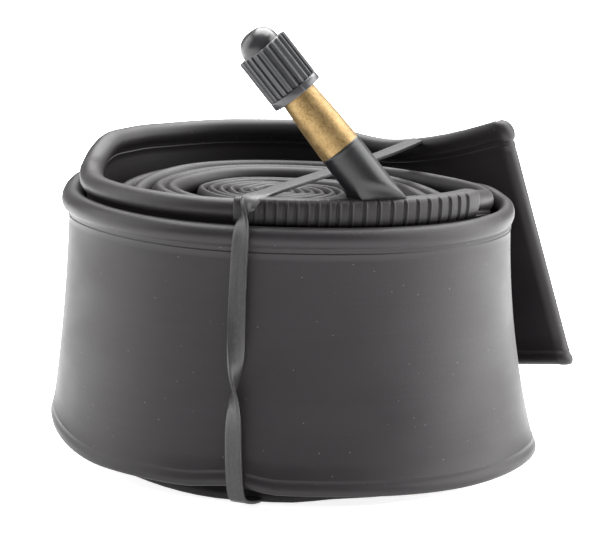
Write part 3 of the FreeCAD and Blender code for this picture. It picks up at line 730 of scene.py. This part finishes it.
# (across, along and height of the band's middle, turn about its length)
BAND_ROUTE = [(19.5, 15.0, 61.6, 0), (8.4, -9.0, 60.8, 0), (1.2, -24.8, 60.4, 0),
              (-4.2, -36.6, 60.0, 0), (-6.4, -41.4, 59.7, 15), (-7.4, -43.6, 59.0, 50),
              (-8.0, -45.0, 57.6, 105), (-8.3, -45.9, 55.4, 155), (-8.5, -46.1, 52.0, 180),
              (-8.7, -46.4, 46.0, 180), (-8.75, -47.0, 38.0, 190), (-8.7, -47.6, 32.0, 215),
              (-8.7, -48.1, 27.0, 255), (-8.75, -48.5, 22.0, 315), (-8.7, -48.9, 17.0, 352),
              (-8.5, -49.4, 11.0, 360), (-8.1, -49.9, 6.0, 360), (-7.8, -49.8, 3.6, 360),
              (-7.2, -48.6, 2.0, 360), (-4.4, -42.0, 0.6, 360), (-1.0, -28.0, 0.5, 360),
              (12.0, 5.0, 0.5, 360), (22.0, 31.0, 0.55, 360), (24.4, 37.5, 2.0, 360),
              (26.4, 42.6, 8.0, 360), (27.2, 44.4, 13.0, 360), (27.6, 43.0, 30.0, 360),
              (28.2, 39.8, 48.0, 360), (28.4, 37.6, 58.5, 360), (28.2, 35.8, 62.2, 360),
              (27.0, 31.5, 62.7, 360), (24.0, 25.0, 62.2, 360)]

keys = np.array(BAND_ROUTE, dtype=float)
keys = np.concatenate([keys, keys[:1] + [0.0, 0.0, 0.0, 360.0]])
# cut the corners three times, so that the straight runs meet in short bends
for cut in range(3):
    first = keys[:-1] * 0.75 + keys[1:] * 0.25
    second = keys[:-1] * 0.25 + keys[1:] * 0.75
    keys = np.concatenate([keys[:1], np.stack([first, second], axis=1).reshape(-1, 4), keys[-1:]])
fine = [keys[0]]
for key, after in zip(keys, keys[1:]):
    count = max(1, int(np.linalg.norm(after[:3] - key[:3]) / BAND_STEP))
    fine += [key + (after - key) * part / count for part in range(1, count + 1)]
fine = np.array(fine[:-1])
line = fine[:, :3]
forward = np.roll(line, -1, axis=0) - np.roll(line, 1, axis=0)
forward /= np.linalg.norm(forward, axis=-1, keepdims=True)
# the band lies flat on the roll, so its width starts level and square to the way over the top
across_top = line[0, :2] - line[len(line) // 8, :2]
across_top /= np.linalg.norm(across_top)
level = np.array([across_top[1], -across_top[0], 0.0])
facing = np.cross(level, forward)
facing /= np.linalg.norm(facing, axis=-1, keepdims=True)
band_side = np.cross(forward, facing)
roll_turn = np.radians(fine[:, 3:4])
wide = band_side * np.cos(roll_turn) + facing * np.sin(roll_turn)
thick = np.cross(wide, forward)
half_wide, half_thick, edge = BAND_WIDTH / 2.0, BAND_THICKNESS / 2.0, BAND_EDGE
corner = [(half_wide - edge, half_thick), (half_wide - 0.3 * edge, half_thick - 0.3 * edge),
          (half_wide, half_thick - edge), (half_wide, 0.0), (half_wide, edge - half_thick),
          (half_wide - 0.3 * edge, 0.3 * edge - half_thick), (half_wide - edge, -half_thick),
          (half_wide / 2.0, -half_thick), (0.0, -half_thick), (-half_wide / 2.0, -half_thick)]
outline = np.array(corner + [(-across, -rise) for across, rise in corner])
points = (line[:, None, :] + wide[:, None, :] * outline[None, :, :1]
          + thick[:, None, :] * outline[None, :, 1:])
band, row, column = rolled_grid("rubber_band_loop", len(line), len(outline))
place_points(band, points[row % len(line), column % len(outline)], 0.01)
bpy.ops.object.shade_smooth_by_angle(angle=math.radians(40.0))

band_finish = Finish("band_rubber")
place, flat = band_finish.place(), band_finish.place("UV")
drawn = band_finish.noise(band_finish.scaled(flat, (26.0, 60.0, 1.0)), 1.0, 3.0, 0.6)
powder = band_finish.noise(place, 1500.0, 3.0, 0.65)
band_base = band_finish.blend(band_finish.between(drawn * 0.5 + powder * 0.5, 0.35, 0.65),
                              (0.010, 0.0095, 0.0095, 1.0), (0.024, 0.023, 0.023, 1.0))
band_finish.finish(band, colour=band_base, roughness=band_finish.between(powder, 0.3, 0.7, 0.34, 0.46),
                   specular=0.3, normal=band_finish.bump(powder + drawn, 0.00004, 0.5))
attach(band, "roll")
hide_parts("rubber_band")


# ------------------------------------------------------------------------------------------------
# Floor and light
# A pale table top that gives off some light of its own, between a soft box on each side and a
# larger one overhead.
# ------------------------------------------------------------------------------------------------
bpy.ops.object.select_all(action="DESELECT")
bpy.ops.mesh.primitive_plane_add(size=6.0)
floor = bpy.context.object
floor.name = "floor"
ground = Finish("pale_floor")
ground.finish(floor, colour=(0.9, 0.9, 0.9, 1.0), roughness=0.9, specular=0.0)
# a lit table top, so that the ground stays white up to the roll
ground.shader.inputs["Emission Color"].default_value = (1.0, 1.0, 1.0, 1.0)
ground.shader.inputs["Emission Strength"].default_value = 0.85

world = bpy.data.worlds.new("studio")
bpy.context.scene.world = world
world.use_nodes = True
world.node_tree.nodes["Background"].inputs["Color"].default_value = (1.0, 1.0, 1.0, 1.0)
world.node_tree.nodes["Background"].inputs["Strength"].default_value = 0.4

# (name, place, width in metres, power in watts)
LAMPS = [("right_box", (0.75, 0.1, 0.35), 0.8, 16.0), ("left_box", (-0.8, 0.1, 0.35), 0.8, 8.5),
         ("top_box", (0.1, 0.35, 0.85), 1.0, 38.0)]
for name, place, width, power in LAMPS:
    lamp_data = bpy.data.lights.new(name, "AREA")
    lamp_data.size = width
    lamp_data.energy = power
    lamp = bpy.data.objects.new(name, lamp_data)
    bpy.context.scene.collection.objects.link(lamp)
    lamp.matrix_world = (Matrix.Translation(Vector(place))
                         @ (-Vector(place)).to_track_quat("-Z", "Y").to_matrix().to_4x4())

bpy.context.scene.view_settings.view_transform = "Standard"
